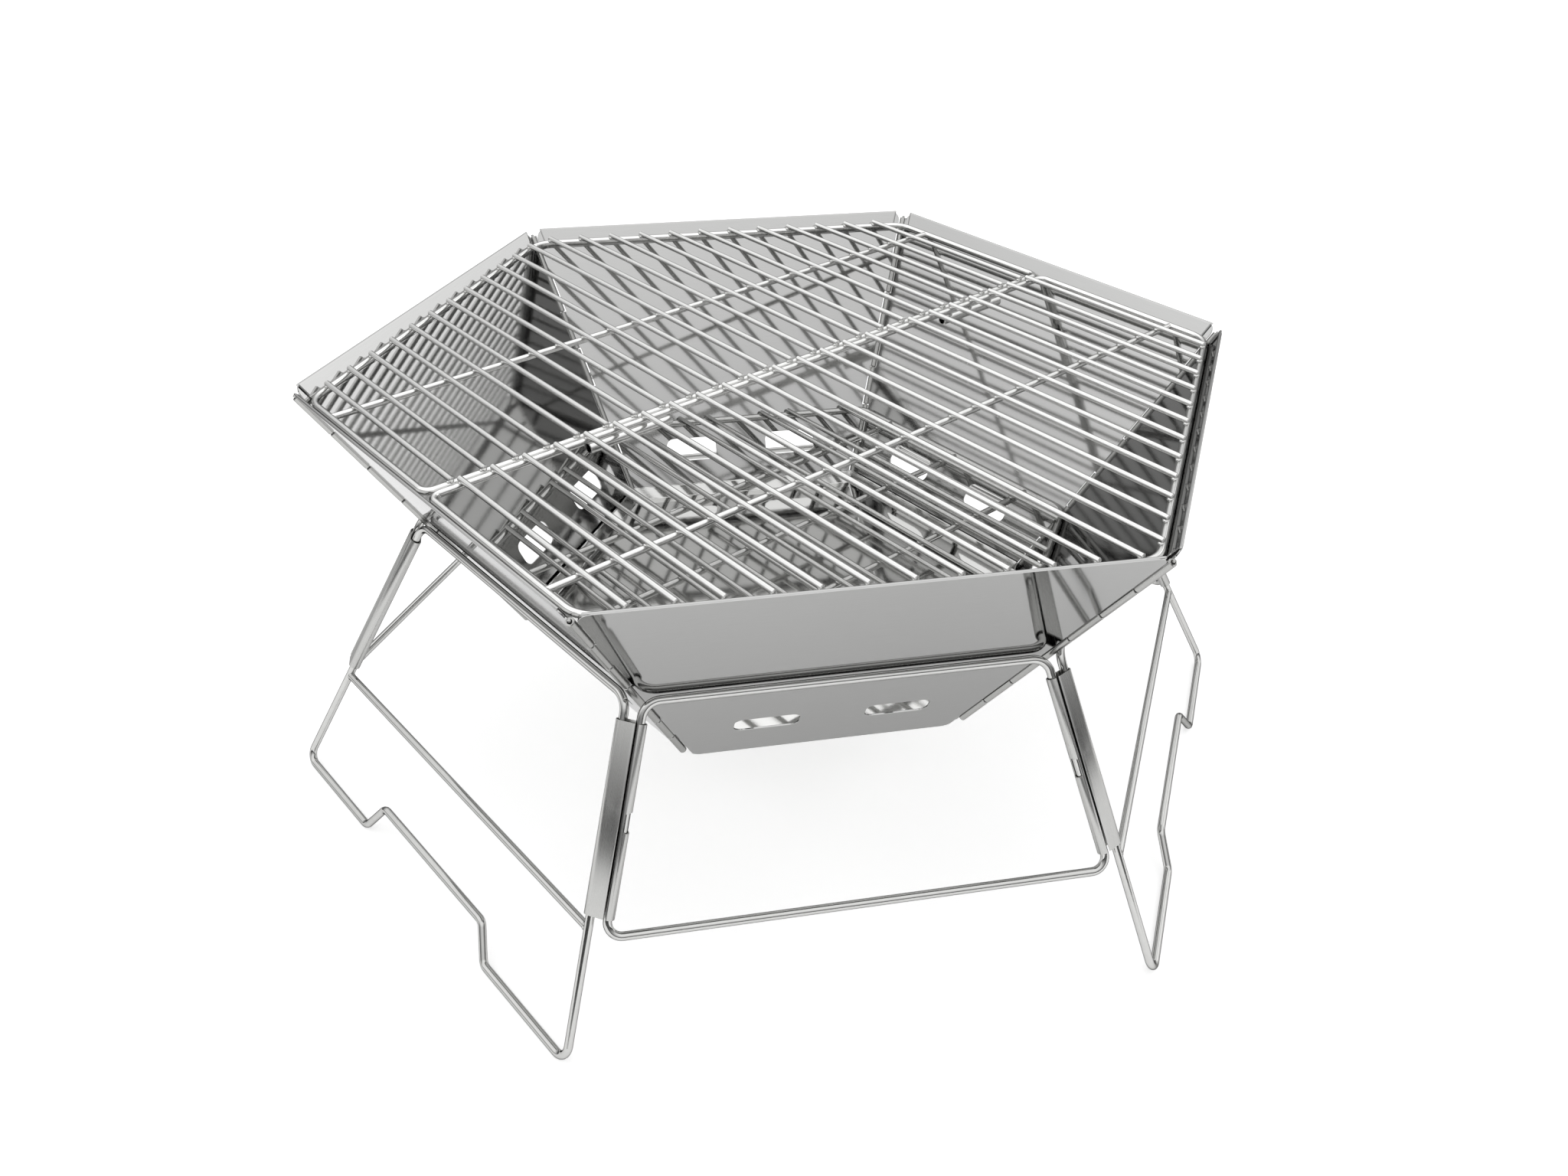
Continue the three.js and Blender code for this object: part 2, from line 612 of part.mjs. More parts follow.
const grateLevel = new THREE.Matrix4().makeTranslation(0, 0, GRATE_HEIGHT);
addPart(nets, 'charcoal_grate', charcoalGrate(), grateWire, grateLevel);

// ---------------------------------------------------------------- ash plate
function bowlCornerAt(height) {
  return FOOT_CORNER + (RIM_CORNER - FOOT_CORNER) * (height - FOOT_HEIGHT) / PANEL_RISE;
}

function ashPlate() {
  const low = bowlCornerAt(PLATE_HEIGHT) - PLATE_CLEARANCE / COS_30;
  const high = bowlCornerAt(PLATE_HEIGHT + PLATE_LIP) - PLATE_CLEARANCE / COS_30;
  const outer = new THREE.CylinderGeometry(high, low, PLATE_LIP, 6);
  const wall = PLATE_SHEET / COS_30;
  const hollow = new THREE.CylinderGeometry(high - wall, low - wall, PLATE_LIP, 6);
  hollow.translate(0, PLATE_SHEET, 0);
  const plate = solidOf(outer).subtract(solidOf(hollow));
  return plate.rotate([90, 0, 0]);
}

const plateLevel = new THREE.Matrix4().makeTranslation(0, 0, PLATE_HEIGHT + PLATE_LIP / 2);
addPart(nets, 'ash_plate', ashPlate(), polishedSheet, plateLevel);

export default grill;
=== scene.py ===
"""Looks for a folding camp grill: polished six-panel bowl, folding wire stand, wire nets."""
import math

import bmesh
import bpy
from mathutils import Matrix, Vector


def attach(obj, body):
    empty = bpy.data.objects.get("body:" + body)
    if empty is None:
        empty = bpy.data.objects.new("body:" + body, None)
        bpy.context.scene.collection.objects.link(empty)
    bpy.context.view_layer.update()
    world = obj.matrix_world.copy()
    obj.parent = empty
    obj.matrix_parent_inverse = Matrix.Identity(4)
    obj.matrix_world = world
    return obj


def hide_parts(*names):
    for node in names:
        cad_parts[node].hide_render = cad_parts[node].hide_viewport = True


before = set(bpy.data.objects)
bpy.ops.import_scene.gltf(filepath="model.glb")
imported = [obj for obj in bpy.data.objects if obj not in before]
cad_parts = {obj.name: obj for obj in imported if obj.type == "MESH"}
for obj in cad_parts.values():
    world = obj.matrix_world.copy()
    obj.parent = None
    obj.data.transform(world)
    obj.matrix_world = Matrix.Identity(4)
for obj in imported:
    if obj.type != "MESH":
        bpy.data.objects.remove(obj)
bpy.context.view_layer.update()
MM = 0.001

# ---------------------------------------------------------------- sizes, in millimetres
RIM_CORNER = 237.5
RIM_HEIGHT = 224
FOOT_CORNER = 136.5
FOOT_HEIGHT = 74.6
SHEET = 0.8
SHEET_EDGE_ROUND = 0.15
BARREL_CHAMFER = 0.25

PANEL_SKIRT = 5
PANEL_EDGE_GAP = 2.5
PANEL_CORNER_RADIUS = 5
HEM_WIDTH = 12
HEM_END_INSET = 6
HEM_FOLD_RADIUS = 0.8
HEM_FOLD_STEPS = 16
HEM_EDGE_SOFTENING = (0.8, 0.25, 0.2)
HEM_END_SQUEEZE = ((0, 0.75), (0.5, 1.0), (1.2, 1.0))  # inset along the rim, share of thickness
VENT_LENGTH = 31
VENT_WIDTH = 14
VENT_CORNER_RADIUS = 4.5
VENT_OFFSET = 31.4
VENT_HEIGHT_ON_PANEL = 32
VENT_STEPS = 8

KNUCKLES = 7
KNUCKLE_FIRST = 5.2
KNUCKLE_LAST = 168.7
KNUCKLE_GAP = 0.6
KNUCKLE_RADIUS = 1.9
KNUCKLE_BORE_RADIUS = 1.1
KNUCKLE_TAB_REACH = 1.4
PIN_RADIUS = 0.8
PIN_OVERHANG = 1

STAND_LOW_REACH = 234
STAND_TOP_REACH = 163.4
STAND_TOP_HEIGHT = 146
ROD_RADIUS = 2
ROD_INSET = 4.6
STAND_CORNER_BEND = 9
LOWER_BAR_BEND = 6.5
FOOT_BEND = 6
FOOT_STEP_BEND = 5
FOOT_LENGTH_START = 60
FOOT_LENGTH_END = 49
FOOT_RISE = 17
LOWER_BAR = 58
CROSS_BAR = 60.5
BAR_WELD = (1.5, 2.35, 2.0)

SLEEVE_LOW = 69
SLEEVE_HIGH = 156
SLEEVE_CLEARANCE = 0.35
SLEEVE_SHEET = 0.6
SLEEVE_EDGE_ROUND = 0.12
SLEEVE_STRIP_SHARE = 0.84
SLEEVE_STRIP_CURL = 0.3
SLEEVE_ROLL_END = 82
SLEEVE_NOTCH_LENGTH = 8
SLEEVE_NOTCH_DEPTH = 1.6
SLEEVE_NOTCH_CHAMFER = 1.4
OPEN_SLEEVE_LIP = 20

NET_HEIGHT = 217.5
NET_REACH = 198
NET_EDGE_RADIUS = 1.75
NET_WIRE_RADIUS = 1.4
NET_WIRES = 24
NET_PITCH = 16
NET_SPLIT_HALF_GAP = 2.0
NET_WIRE_SHIFT = 1.7
NET_CROSS_BAR = 92
NET_CORNER_BEND = 15
NET_SPLIT_BEND = 5
WELD_DEPTH = 0.35
WIRE_OVERHANG = 0.5
CROSS_BAR_SHARE = 0.95
WIRE_END_SHARE = 0.62
TUBE_ROUNDNESS = 6
BEND_STEPS = 10
NET_BEND_STEPS = 12
BEAD_SIDES = 10
BEAD_RINGS = 6
SHARP_RADIUS = 0.01
WIRE_END_ROUNDING = (0.25, 0.7)
NET_TURN = 30

SOCKET_LENGTH = 46
SOCKET_OUTER_RADIUS = 2.6
SOCKET_INNER_RADIUS = 1.9
SOCKET_PLACES = (-96, 136)
SOCKET_INSET = 1.2
SOCKET_WELD_DEPTH = 0.7

GRATE_HEIGHT = 118
GRATE_REACH = 140.5
GRATE_EDGE_RADIUS = 2
GRATE_WIRE_RADIUS = 1.5
GRATE_WIRES = 18
GRATE_PITCH = 15
GRATE_CROSS_BARS = (-55, 0, 55)
GRATE_CORNER_BEND = 12

PLATE_HEIGHT = 78
PLATE_LIP = 7
PLATE_SHEET = 1
PLATE_CLEARANCE = 2.7
PLATE_EDGE_ROUND = 0.35

# degrees between faces that stay a sharp edge
SHEET_CREASE = 12
PLATE_CREASE = 20
FOLD_CREASE = 35
DEFAULT_CREASE = 38
BARREL_CREASE = 40
WIRE_CREASE = 50

# weld beads, as shares of the wire's radius, the edge wire's radius and the wire's radius
NET_BEAD = (1.35, 0.95, 0.75)
GRATE_BEAD = (1.3, 0.9, 0.75)
BEAD_LEVEL = 0.8

COS_30 = math.cos(math.radians(30))
TAN_30 = math.tan(math.radians(30))
PANEL_RISE = RIM_HEIGHT - FOOT_HEIGHT
PANEL_LENGTH = math.hypot(PANEL_RISE, (RIM_CORNER - FOOT_CORNER) * COS_30)
CORNER_GROWTH = (RIM_CORNER - FOOT_CORNER) / 2 / PANEL_LENGTH
FRAME_LEAN = STAND_LOW_REACH - STAND_TOP_REACH
FRAME_LENGTH = math.hypot(STAND_TOP_HEIGHT - ROD_RADIUS, FRAME_LEAN)
FRAME_TAPER = FRAME_LEAN * TAN_30 / FRAME_LENGTH

SIDES = {
    "front": -90,
    "front_right": -30,
    "back_right": 30,
    "back": 90,
    "back_left": 150,
    "front_left": 210,
}
TALL_SIDES = ("front_right", "back", "front_left")
FRAME_BODIES = {
    "front": "short_front",
    "front_right": "tall_front_right",
    "back_right": "short_back_right",
    "back": "tall_back",
    "back_left": "short_back_left",
    "front_left": "tall_front_left",
}
# corner name: (corner angle, tall frame's side, short frame's side)
CORNERS = {
    "front_left": (240, "front_left", "front"),
    "front_right": (300, "front_right", "front"),
    "right": (0, "front_right", "back_right"),
    "back_right": (60, "back", "back_right"),
    "back_left": (120, "back", "back_left"),
    "left": (180, "front_left", "back_left"),
}
OPEN_CORNER = "right"


# ---------------------------------------------------------------- places
def outward(angle):
    return Vector((math.cos(math.radians(angle)), math.sin(math.radians(angle)), 0))


def leaning_plane(angle, low_reach, low_height, high_reach, high_height):
    low = outward(angle) * low_reach + Vector((0, 0, low_height))
    high = outward(angle) * high_reach + Vector((0, 0, high_height))
    across = outward(angle + 90)
    up = (high - low).normalized()
    out = across.cross(up)
    basis = Matrix((across, up, out)).transposed().to_4x4()
    return Matrix.Translation(low * MM) @ basis


def panel_plane(angle):
    return leaning_plane(angle, FOOT_CORNER * COS_30, FOOT_HEIGHT, RIM_CORNER * COS_30, RIM_HEIGHT)


def frame_plane(angle):
    return leaning_plane(angle, STAND_LOW_REACH, ROD_RADIUS, STAND_TOP_REACH, STAND_TOP_HEIGHT)


def corner_line_point(side, up_panel, inset):
    along = Vector((CORNER_GROWTH, 1)).normalized()
    inward = Vector((-along.y, along.x))
    place = Vector((FOOT_CORNER / 2 + CORNER_GROWTH * up_panel, up_panel)) + inward * inset
    return Vector((side * place.x, place.y))


def hexagon_edge(reach, x):
    return reach / COS_30 - abs(x) * TAN_30


def rounded_outline(corners, radii, steps):
    """The points of a closed outline whose corners are rounded with arcs."""
    points = []
    for i, corner in enumerate(corners):
        before = (corners[i - 1] - corner).normalized()
        after = (corners[(i + 1) % len(corners)] - corner).normalized()
        half = before.angle(after) / 2
        middle = corner + (before + after).normalized() * (radii[i] / math.sin(half))
        start = corner + before * (radii[i] / math.tan(half)) - middle
        end = corner + after * (radii[i] / math.tan(half)) - middle
        swing = math.atan2(start.x * end.y - start.y * end.x, start.dot(end))
        for step in range(steps + 1):
            turn = swing * step / steps
            spoke = Vector((
                start.x * math.cos(turn) - start.y * math.sin(turn),
                start.x * math.sin(turn) + start.y * math.cos(turn),
            ))
            points.append(middle + spoke)
    return points


# ---------------------------------------------------------------- mesh makers
def new_object(name, mesh, matrix=None):
    piece = bpy.data.objects.new(name, mesh)
    bpy.context.scene.collection.objects.link(piece)
    if matrix is not None:
        piece.matrix_world = matrix
    return piece


def baked_mesh(temporary):
    bpy.context.view_layer.update()
    graph = bpy.context.evaluated_depsgraph_get()
    mesh = bpy.data.meshes.new_from_object(temporary.evaluated_get(graph))
    data = temporary.data
    bpy.data.objects.remove(temporary)
    if isinstance(data, bpy.types.Curve):
        bpy.data.curves.remove(data)
    return mesh


def smoothed(mesh, angle):
    mesh.shade_smooth()
    mesh.set_sharp_from_angle(angle=math.radians(angle))
    return mesh


def tubes(name, paths, matrix=None):
    """One mesh of round wires: each path is (points in mm, radius in mm, closed)."""
    whole = bmesh.new()
    for points, radius, closed in paths:
        curve = bpy.data.curves.new(name, "CURVE")
        curve.dimensions = "3D"
        curve.bevel_depth = radius * MM
        curve.bevel_resolution = TUBE_ROUNDNESS
        curve.use_fill_caps = not closed
        spline = curve.splines.new("POLY")
        spline.points.add(len(points) - 1)
        spline.use_cyclic_u = closed
        for slot, point in zip(spline.points, points):
            place = Vector(point).to_3d() * MM
            slot.co = (*place, 1)
        if not closed:
            spline.points[0].radius = WIRE_END_SHARE
            spline.points[-1].radius = WIRE_END_SHARE
        mesh = baked_mesh(new_object(name, curve))
        whole.from_mesh(mesh)
        bpy.data.meshes.remove(mesh)
    mesh = bpy.data.meshes.new(name)
    whole.to_mesh(mesh)
    whole.free()
    return new_object(name, smoothed(mesh, WIRE_CREASE), matrix)


def wire_path(start, end, radius):
    """A straight wire with softly rounded ends."""
    start, end = Vector(start), Vector(end)
    along = (end - start).normalized()
    near, far = WIRE_END_ROUNDING
    points = [
        start,
        start + along * radius * near,
        start + along * radius * far,
        end - along * radius * far,
        end - along * radius * near,
        end,
    ]
    return points, radius, False


def flat_sheet(name, outline, holes, thickness, matrix):
    curve = bpy.data.curves.new(name, "CURVE")
    curve.dimensions = "2D"
    curve.fill_mode = "BOTH"
    curve.extrude = (thickness / 2 - SHEET_EDGE_ROUND) * MM
    curve.bevel_depth = SHEET_EDGE_ROUND * MM
    curve.bevel_resolution = 2
    curve.offset = -SHEET_EDGE_ROUND * MM
    for points in [outline, *holes]:
        spline = curve.splines.new("POLY")
        spline.points.add(len(points) - 1)
        spline.use_cyclic_u = True
        for slot, point in zip(spline.points, points):
            slot.co = (point[0] * MM, point[1] * MM, 0, 1)
    mesh = baked_mesh(new_object(name, curve))
    return new_object(name, smoothed(mesh, SHEET_CREASE), matrix)


def ring_of(points_by_station, closed_section):
    """A skin through stations of equal point counts, in mm."""
    mesh = bmesh.new()
    rows = [[mesh.verts.new(Vector(p) * MM) for p in station] for station in points_by_station]
    count = len(rows[0])
    last = count if closed_section else count - 1
    for low, high in zip(rows, rows[1:]):
        for i in range(last):
            j = (i + 1) % count
            mesh.faces.new((low[i], low[j], high[j], high[i]))
    return mesh, rows


def mesh_object(name, mesh, matrix=None, angle=DEFAULT_CREASE):
    bmesh.ops.recalc_face_normals(mesh, faces=mesh.faces)
    data = bpy.data.meshes.new(name)
    mesh.to_mesh(data)
    mesh.free()
    return new_object(name, smoothed(data, angle), matrix)


def weld_bead(mesh, place, size):
    turned = Matrix.Translation(Vector(place) * MM) @ Matrix.Diagonal((*[s * MM for s in size], 1))
    bmesh.ops.create_uvsphere(
        mesh, u_segments=BEAD_SIDES, v_segments=BEAD_RINGS, radius=1.0, matrix=turned
    )


def with_beads(piece, beads):
    mesh = bmesh.new()
    mesh.from_mesh(piece.data)
    for place, size in beads:
        weld_bead(mesh, place, size)
    mesh.to_mesh(piece.data)
    mesh.free()
    smoothed(piece.data, WIRE_CREASE)


# ---------------------------------------------------------------- materials
def math_node(nodes, links, operation, first, second):
    node = nodes.new("ShaderNodeMath")
    node.operation = operation
    for socket, value in zip(node.inputs, (first, second)):
        if isinstance(value, (int, float)):
            socket.default_value = value
        else:
            links.new(value, socket)
    return node.outputs[0]


def steel(name, colour, roughness, spread, grain, grain_bump, wave_bump, edge, anisotropy=0.0):
    """Bare stainless steel.

    grain stretches the fine brush lines in the piece's own axes, grain_bump and wave_bump are
    how deep the brush lines and the slow waviness of thin sheet look, and edge is how much
    light the steel keeps at a slanting view."""
    material = bpy.data.materials.new(name)
    material.use_nodes = True
    nodes, links = material.node_tree.nodes, material.node_tree.links
    shader = nodes["Principled BSDF"]
    shader.inputs["Metallic"].default_value = 1.0
    shader.inputs["Anisotropic"].default_value = anisotropy
    shader.inputs["Specular Tint"].default_value = (edge, edge, edge, 1)
    place = nodes.new("ShaderNodeAttribute")
    place.attribute_name = "own_place"

    stretch = nodes.new("ShaderNodeMapping")
    stretch.inputs["Scale"].default_value = grain
    links.new(place.outputs["Vector"], stretch.inputs["Vector"])
    lines = nodes.new("ShaderNodeTexNoise")
    lines.inputs["Scale"].default_value = 1.0
    lines.inputs["Detail"].default_value = 5.0
    links.new(stretch.outputs["Vector"], lines.inputs["Vector"])

    slow = nodes.new("ShaderNodeTexNoise")
    slow.inputs["Scale"].default_value = 9.0
    slow.inputs["Detail"].default_value = 1.5
    links.new(place.outputs["Vector"], slow.inputs["Vector"])

    smudge = nodes.new("ShaderNodeTexNoise")
    smudge.inputs["Scale"].default_value = 34.0
    smudge.inputs["Detail"].default_value = 4.0
    smudge.inputs["Roughness"].default_value = 0.62
    links.new(place.outputs["Vector"], smudge.inputs["Vector"])

    haze = math_node(nodes, links, "MULTIPLY", smudge.outputs["Fac"], spread)
    line_haze = math_node(nodes, links, "MULTIPLY", lines.outputs["Fac"], spread * 0.8)
    added = math_node(nodes, links, "ADD", haze, line_haze)
    rough = math_node(nodes, links, "ADD", added, roughness - spread * 0.9)
    links.new(rough, shader.inputs["Roughness"])

    tint = nodes.new("ShaderNodeMix")
    tint.data_type = "RGBA"
    tint.inputs["A"].default_value = (*[c * 0.93 for c in colour], 1)
    tint.inputs["B"].default_value = (*[min(1.0, c * 1.05) for c in colour], 1)
    links.new(lines.outputs["Fac"], tint.inputs["Factor"])
    links.new(tint.outputs["Result"], shader.inputs["Base Color"])

    wave = nodes.new("ShaderNodeBump")
    wave.inputs["Strength"].default_value = 1.0
    wave.inputs["Distance"].default_value = wave_bump * MM
    links.new(slow.outputs["Fac"], wave.inputs["Height"])
    brush = nodes.new("ShaderNodeBump")
    brush.inputs["Strength"].default_value = 0.5
    brush.inputs["Distance"].default_value = grain_bump * MM
    links.new(lines.outputs["Fac"], brush.inputs["Height"])
    links.new(wave.outputs["Normal"], brush.inputs["Normal"])
    links.new(brush.outputs["Normal"], shader.inputs["Normal"])
    return material


SHEET_STEEL = steel("polished_sheet_steel", (0.51, 0.51, 0.505), 0.055, 0.035,
                    (60, 4200, 60), 0.0015, 0.04, 0.45)
BARREL_STEEL = steel("barrel_steel", (0.44, 0.44, 0.43), 0.22, 0.08,
                     (900, 900, 900), 0.006, 0.0, 0.5)
ROD_STEEL = steel("polished_rod_steel", (0.56, 0.56, 0.55), 0.12, 0.05,
                  (260, 260, 260), 0.004, 0.0, 0.12)
SLEEVE_STEEL = steel("satin_sleeve_steel", (0.50, 0.50, 0.49), 0.28, 0.10,
                     (4200, 4200, 45), 0.008, 0.0, 0.4, 0.4)
NET_STEEL = steel("satin_net_steel", (0.80, 0.80, 0.79), 0.25, 0.10,
                  (500, 500, 500), 0.008, 0.0, 0.5)
NET_EDGE_STEEL = steel("polished_net_edge_steel", (0.84, 0.84, 0.83), 0.11, 0.06,
                       (500, 500, 500), 0.004, 0.0, 0.4)
PLATE_STEEL = steel("polished_plate_steel", (0.72, 0.72, 0.71), 0.06, 0.03,
                    (60, 2600, 60), 0.0015, 0.05, 0.6)
GRATE_STEEL = steel("grate_steel", (0.52, 0.52, 0.51), 0.20, 0.08,
                    (500, 500, 500), 0.008, 0.0, 0.4)


def settled(piece):
    """Keeps each point's place along the piece's own axes, then puts the place in the mesh."""
    mesh = piece.data
    own = mesh.attributes.new("own_place", "FLOAT_VECTOR", "POINT")
    own.data.foreach_set("vector", [c for vertex in mesh.vertices for c in vertex.co])
    mesh.transform(piece.matrix_world)
    piece.matrix_world = Matrix.Identity(4)


def dressed(piece, material, body, slot, *nodes):
    bpy.context.view_layer.update()
    settled(piece)
    piece.data.materials.clear()
    piece.data.materials.append(material)
    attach(piece, body)
    if nodes:
        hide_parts(*nodes)
    return piece


# ---------------------------------------------------------------- bowl
def knuckle_span(index):
    pitch = (KNUCKLE_LAST - KNUCKLE_FIRST) / KNUCKLES
    low = KNUCKLE_FIRST + pitch * index + KNUCKLE_GAP / 2
    return low, low + pitch - KNUCKLE_GAP


def owned_knuckles(side):
    return [i for i in range(KNUCKLES) if (i % 2 == 0) == (side > 0)]


def panel_edge(side):
    points = []
    for index in owned_knuckles(side):
        low, high = knuckle_span(index)
        for up_panel, inset in (
            (low, PANEL_EDGE_GAP),
            (low, KNUCKLE_TAB_REACH),
            (high, KNUCKLE_TAB_REACH),
            (high, PANEL_EDGE_GAP),
        ):
            points.append(corner_line_point(side, up_panel, inset))
    return points


def rounded_corner(side, up_panel):
    corner = corner_line_point(side, up_panel, PANEL_EDGE_GAP)
    along = corner_line_point(side, PANEL_LENGTH / 2, PANEL_EDGE_GAP)
    across = Vector((0, corner.y))
    steps = BEND_STEPS
    radii = [SHARP_RADIUS, PANEL_CORNER_RADIUS, SHARP_RADIUS]
    rounded = rounded_outline([across, corner, along], radii, steps)
    return rounded[steps + 1:2 * steps + 2]


def vent_hole(middle_x):
    left, right = middle_x - VENT_LENGTH / 2, middle_x + VENT_LENGTH / 2
    low = VENT_HEIGHT_ON_PANEL - VENT_WIDTH / 2
    high = VENT_HEIGHT_ON_PANEL + VENT_WIDTH / 2
    corners = [Vector(place) for place in ((left, low), (right, low), (right, high), (left, high))]
    return rounded_outline(corners, [VENT_CORNER_RADIUS] * 4, VENT_STEPS)


def panel_sheet(name, matrix):
    top = PANEL_LENGTH - HEM_FOLD_RADIUS
    halves = []
    for side in (1, -1):
        halves.append(
            rounded_corner(side, -PANEL_SKIRT) + panel_edge(side) + rounded_corner(side, top)[::-1]
        )
    outline = halves[0] + halves[1][::-1]
    holes = [vent_hole(VENT_OFFSET), vent_hole(-VENT_OFFSET)]
    return flat_sheet(name, outline, holes, SHEET, matrix)


def panel_hem(name, matrix):
    """The rim: the sheet turned over at the top edge and pressed down inside."""
    fold_middle = Vector((PANEL_LENGTH - HEM_FOLD_RADIUS, -SHEET / 2))
    section = []
    for step in range(HEM_FOLD_STEPS + 1):
        turn = math.radians(180 * step / HEM_FOLD_STEPS)
        section.append(fold_middle + Vector((
            math.sin(turn) * HEM_FOLD_RADIUS,
            math.cos(turn) * HEM_FOLD_RADIUS,
        )))
    inner_face = -SHEET / 2 - HEM_FOLD_RADIUS
    free_edge = PANEL_LENGTH - HEM_WIDTH
    flat_start, edge_start, edge_drop = HEM_EDGE_SOFTENING
    section += [
        Vector((PANEL_LENGTH - HEM_FOLD_RADIUS - 0.3, inner_face)),
        Vector((free_edge + flat_start, inner_face)),
        Vector((free_edge + edge_start, inner_face)),
        Vector((free_edge, inner_face + edge_drop)),
        Vector((free_edge, -SHEET / 2 - 0.15)),
        Vector((PANEL_LENGTH - HEM_FOLD_RADIUS, -SHEET / 2 - 0.1)),
    ]
    stations = []
    for side in (-1, 1):
        for inset, squeeze in (HEM_END_SQUEEZE if side < 0 else HEM_END_SQUEEZE[::-1]):
            row = []
            for place in section:
                edge = corner_line_point(side, place.x, HEM_END_INSET + inset)
                row.append((edge.x, place.x, fold_middle.y + (place.y - fold_middle.y) * squeeze))
            stations.append(row)
    mesh, rows = ring_of(stations, True)
    mesh.faces.new(rows[0])
    mesh.faces.new(rows[-1][::-1])
    return mesh_object(name, mesh, matrix, FOLD_CREASE)


def barrel(mesh, start, end, outer, inner, sides=24):
    """A rolled barrel from the sheet's tab, open at both ends."""
    along = (end - start).normalized()
    across = along.orthogonal().normalized()
    other = along.cross(across)
    chamfer = BARREL_CHAMFER
    profile = [
        (inner, 0.0),
        (outer - chamfer, 0.0),
        (outer, chamfer),
        (outer, (end - start).length - chamfer),
        (outer - chamfer, (end - start).length),
        (inner, (end - start).length),
    ]
    rows = []
    for radius, reach in profile:
        row = []
        for i in range(sides):
            turn = 2 * math.pi * i / sides
            spoke = (across * math.cos(turn) + other * math.sin(turn)) * radius
            row.append(mesh.verts.new((start + along * reach + spoke) * MM))
        rows.append(row)
    for low, high in zip(rows, rows[1:] + rows[:1]):
        for i in range(sides):
            j = (i + 1) % sides
            mesh.faces.new((low[i], low[j], high[j], high[i]))


def panel_barrels(name, matrix):
    mesh = bmesh.new()
    for side in (1, -1):
        for index in owned_knuckles(side):
            low, high = knuckle_span(index)
            barrel(
                mesh,
                corner_line_point(side, low, 0).to_3d(),
                corner_line_point(side, high, 0).to_3d(),
                KNUCKLE_RADIUS,
                KNUCKLE_BORE_RADIUS,
            )
    return mesh_object(name, mesh, matrix, BARREL_CREASE)


def make_bowl():
    for name, angle in SIDES.items():
        matrix = panel_plane(angle)
        sheet = panel_sheet(f"sheet_{name}", matrix)
        dressed(sheet, SHEET_STEEL, "bowl", "polished_sheet", f"panel_{name}")
        hem = panel_hem(f"hem_{name}", matrix)
        dressed(hem, SHEET_STEEL, "bowl", "polished_sheet")
        barrels = panel_barrels(f"barrels_{name}", matrix)
        dressed(barrels, BARREL_STEEL, "bowl", "polished_sheet")
    for name, (angle, _, _) in CORNERS.items():
        low = outward(angle) * FOOT_CORNER + Vector((0, 0, FOOT_HEIGHT))
        high = outward(angle) * RIM_CORNER + Vector((0, 0, RIM_HEIGHT))
        start = low.lerp(high, (KNUCKLE_FIRST - PIN_OVERHANG) / PANEL_LENGTH)
        end = low.lerp(high, (KNUCKLE_LAST + PIN_OVERHANG) / PANEL_LENGTH)
        pin = tubes(f"pin_{name}", [wire_path(start, end, PIN_RADIUS)])
        dressed(pin, BARREL_STEEL, "bowl", "hinge_pin_steel", f"hinge_pin_{name}")


# ---------------------------------------------------------------- stand
def frame_side(up_frame):
    return (
        STAND_LOW_REACH * TAN_30
        - FRAME_TAPER * up_frame
        - ROD_INSET * math.hypot(1, FRAME_TAPER)
    )


def mirrored_corners(right_side):
    return right_side + [Vector((-p.x, p.y)) for p in reversed(right_side)]


def tall_frame_paths():
    right_side = [
        Vector((FOOT_LENGTH_END, FOOT_RISE)),
        Vector((FOOT_LENGTH_START, 0)),
        Vector((frame_side(0), 0)),
        Vector((frame_side(FRAME_LENGTH), FRAME_LENGTH)),
    ]
    radii = [FOOT_STEP_BEND, FOOT_STEP_BEND, FOOT_BEND, STAND_CORNER_BEND]
    loop = rounded_outline(mirrored_corners(right_side), radii + radii[::-1], BEND_STEPS)
    reach = frame_side(CROSS_BAR) - ROD_RADIUS / 2
    bar = wire_path((-reach, CROSS_BAR, 0), (reach, CROSS_BAR, 0), ROD_RADIUS * CROSS_BAR_SHARE)
    return [(loop, ROD_RADIUS, True), bar]


def short_frame_paths():
    corners = mirrored_corners([
        Vector((frame_side(LOWER_BAR), LOWER_BAR)),
        Vector((frame_side(FRAME_LENGTH), FRAME_LENGTH)),
    ])
    radii = [LOWER_BAR_BEND, STAND_CORNER_BEND, STAND_CORNER_BEND, LOWER_BAR_BEND]
    return [(rounded_outline(corners, radii, BEND_STEPS), ROD_RADIUS, True)]


def make_frames():
    for name, angle in SIDES.items():
        tall = name in TALL_SIDES
        paths = tall_frame_paths() if tall else short_frame_paths()
        kind = "tall_frame" if tall else "short_frame"
        piece = tubes(f"rod_{kind}_{name}", paths, frame_plane(angle))
        if tall:
            joint = frame_side(CROSS_BAR) - ROD_RADIUS
            with_beads(piece, [((side * joint, CROSS_BAR, 0), BAR_WELD) for side in (1, -1)])
        dressed(piece, ROD_STEEL, FRAME_BODIES[name], "polished_rod", f"{kind}_{name}")


def side_rod(side_name, corner_angle):
    angle = SIDES[side_name]
    turn = 1 if math.sin(math.radians(corner_angle - angle)) > 0 else -1
    plane = frame_plane(angle)
    low = plane @ (Vector((turn * frame_side(0), 0, 0)) * MM)
    high = plane @ (Vector((turn * frame_side(FRAME_LENGTH), FRAME_LENGTH, 0)) * MM)
    return low, (high - low).normalized()


def arc(middle_x, radius, start, end, steps):
    turns = [math.radians(start + (end - start) * i / steps) for i in range(steps + 1)]
    return [(middle_x + radius * math.cos(turn), radius * math.sin(turn)) for turn in turns]


